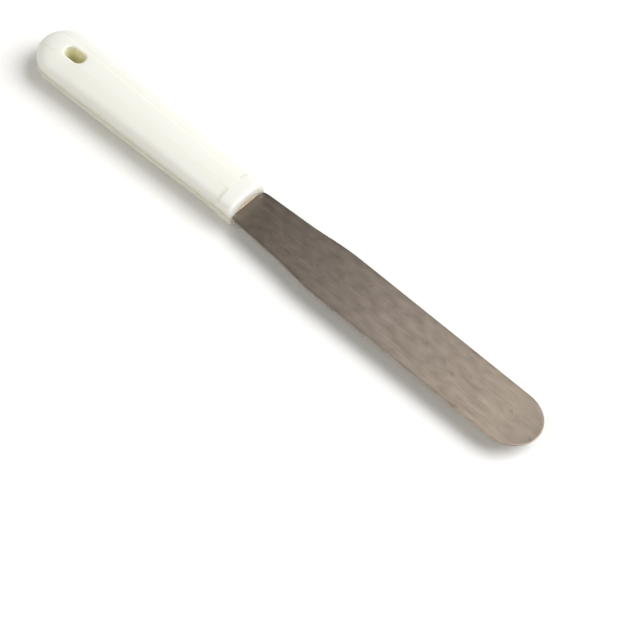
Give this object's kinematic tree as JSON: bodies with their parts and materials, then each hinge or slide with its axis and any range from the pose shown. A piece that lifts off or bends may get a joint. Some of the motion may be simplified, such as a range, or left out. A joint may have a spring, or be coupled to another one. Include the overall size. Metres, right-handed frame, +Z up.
{
  "type": "flexible putty knife",
  "caption": "Slim putty knife with a long flexible round-ended steel blade and a glossy ivory two-part plastic handle with a collar and a hang hole.",
  "frame": {"origin": "on the surface that the knife lies on, under the middle of its length and width", "axes": "+X from the handle to the blade's tip, +Z up and square to the blade"},
  "size_m": [0.29, 0.027, 0.0186],
  "materials": {
    "handle_plastic": "glossy ivory moulded plastic, slightly translucent",
    "core_resin": "dull tan potting resin",
    "pin_steel": "plain drawn wire",
    "blade_steel": "fine lengthwise brushing, slightly tarnished"
  },
  "bodies": {
    "handle": {"upper_handle": "handle_plastic", "lower_handle": "handle_plastic", "tang_core": "core_resin", "tang_pins": "pin_steel", "blade_root": "blade_steel"},
    "heel": {"blade_heel": "blade_steel"},
    "waist": {"blade_waist": "blade_steel"},
    "belly": {"blade_belly": "blade_steel"},
    "fore": {"blade_fore": "blade_steel"},
    "tip": {"blade_tip": "blade_steel"}
  },
  "joints": [
    {"name": "flex_heel", "type": "hinge", "parent": "handle", "child": "heel", "pos_m": [-0.008, 0, 0.0093], "axis": [0, -1, 0], "range_deg": [-10, 10], "stiffness_Nm_per_rad": 7.8},
    {"name": "flex_waist", "type": "hinge", "parent": "heel", "child": "waist", "pos_m": [0.014, 0, 0.0093], "axis": [0, -1, 0], "range_deg": [-8, 8], "stiffness_Nm_per_rad": 8.3},
    {"name": "flex_belly", "type": "hinge", "parent": "waist", "child": "belly", "pos_m": [0.038, 0, 0.0093], "axis": [0, -1, 0], "range_deg": [-6, 6], "stiffness_Nm_per_rad": 9.2},
    {"name": "flex_fore", "type": "hinge", "parent": "belly", "child": "fore", "pos_m": [0.064, 0, 0.0093], "axis": [0, -1, 0], "range_deg": [-5, 5], "stiffness_Nm_per_rad": 8.5},
    {"name": "flex_tip", "type": "hinge", "parent": "fore", "child": "tip", "pos_m": [0.092, 0, 0.0093], "axis": [0, -1, 0], "range_deg": [-5, 5], "stiffness_Nm_per_rad": 3.4}
  ],
  "couplings": [
    {"joint": "flex_waist", "follows": "flex_heel", "ratio": 0.8},
    {"joint": "flex_belly", "follows": "flex_heel", "ratio": 0.6},
    {"joint": "flex_fore", "follows": "flex_heel", "ratio": 0.5},
    {"joint": "flex_tip", "follows": "flex_heel", "ratio": 0.5}
  ]
}
